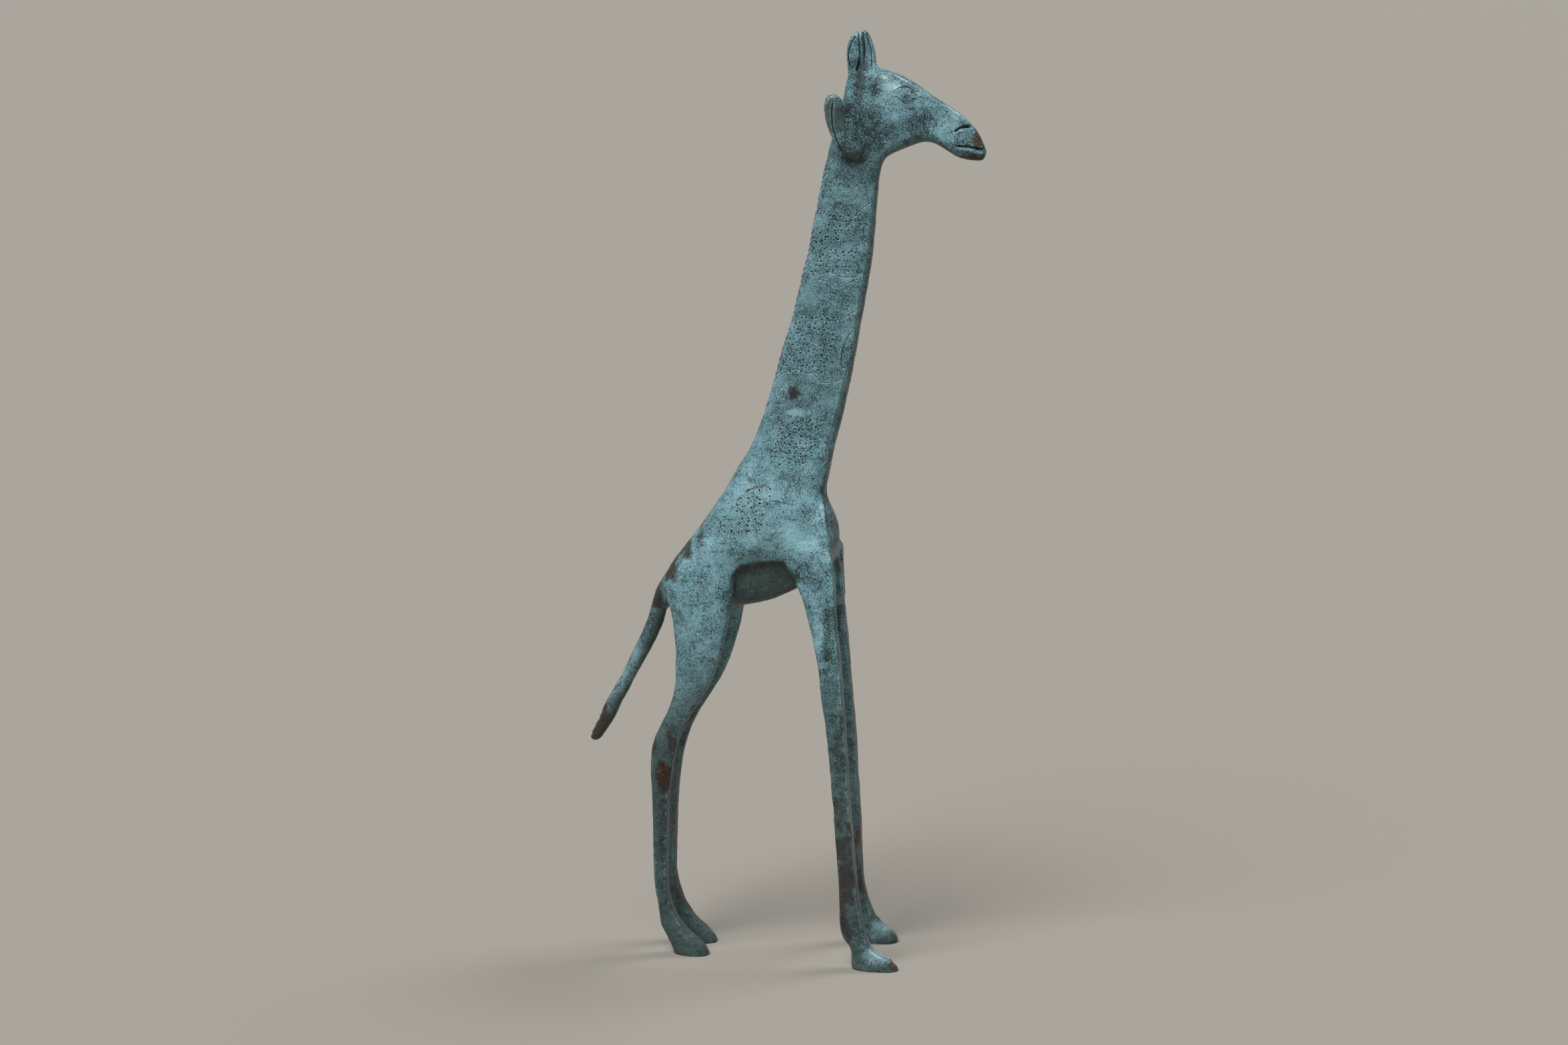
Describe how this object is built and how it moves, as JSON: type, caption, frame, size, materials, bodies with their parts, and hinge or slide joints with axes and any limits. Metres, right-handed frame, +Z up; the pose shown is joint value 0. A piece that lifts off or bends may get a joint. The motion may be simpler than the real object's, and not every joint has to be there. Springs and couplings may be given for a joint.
{
  "type": "bronze giraffe figure",
  "caption": "Slender standing giraffe figure in lost-wax cast bronze with a green patina, long slab neck, leaf-shaped horns and four splayed legs.",
  "frame": {"origin": "on the plane the figure stands on, at the middle of the outline of the whole figure", "axes": "+Z up, +X the way the giraffe faces, +Y its left side"},
  "size_m": [0.094, 0.0287, 0.22],
  "materials": {
    "verdigris_bronze": "cast bronze under a turquoise-grey verdigris with dark speckle, satin",
    "worn_bronze": "cast bronze with a thinner, darker patina and bare brown metal on its edges, satin"
  },
  "bodies": {
    "root": {"torso": "verdigris_bronze", "neck": "verdigris_bronze", "head": "verdigris_bronze", "left_horn": "verdigris_bronze", "right_horn": "verdigris_bronze", "left_ear": "worn_bronze", "right_ear": "worn_bronze", "tail": "worn_bronze", "front_left_leg": "verdigris_bronze", "front_right_leg": "verdigris_bronze", "hind_left_leg": "verdigris_bronze", "hind_right_leg": "verdigris_bronze"}
  },
  "joints": []
}
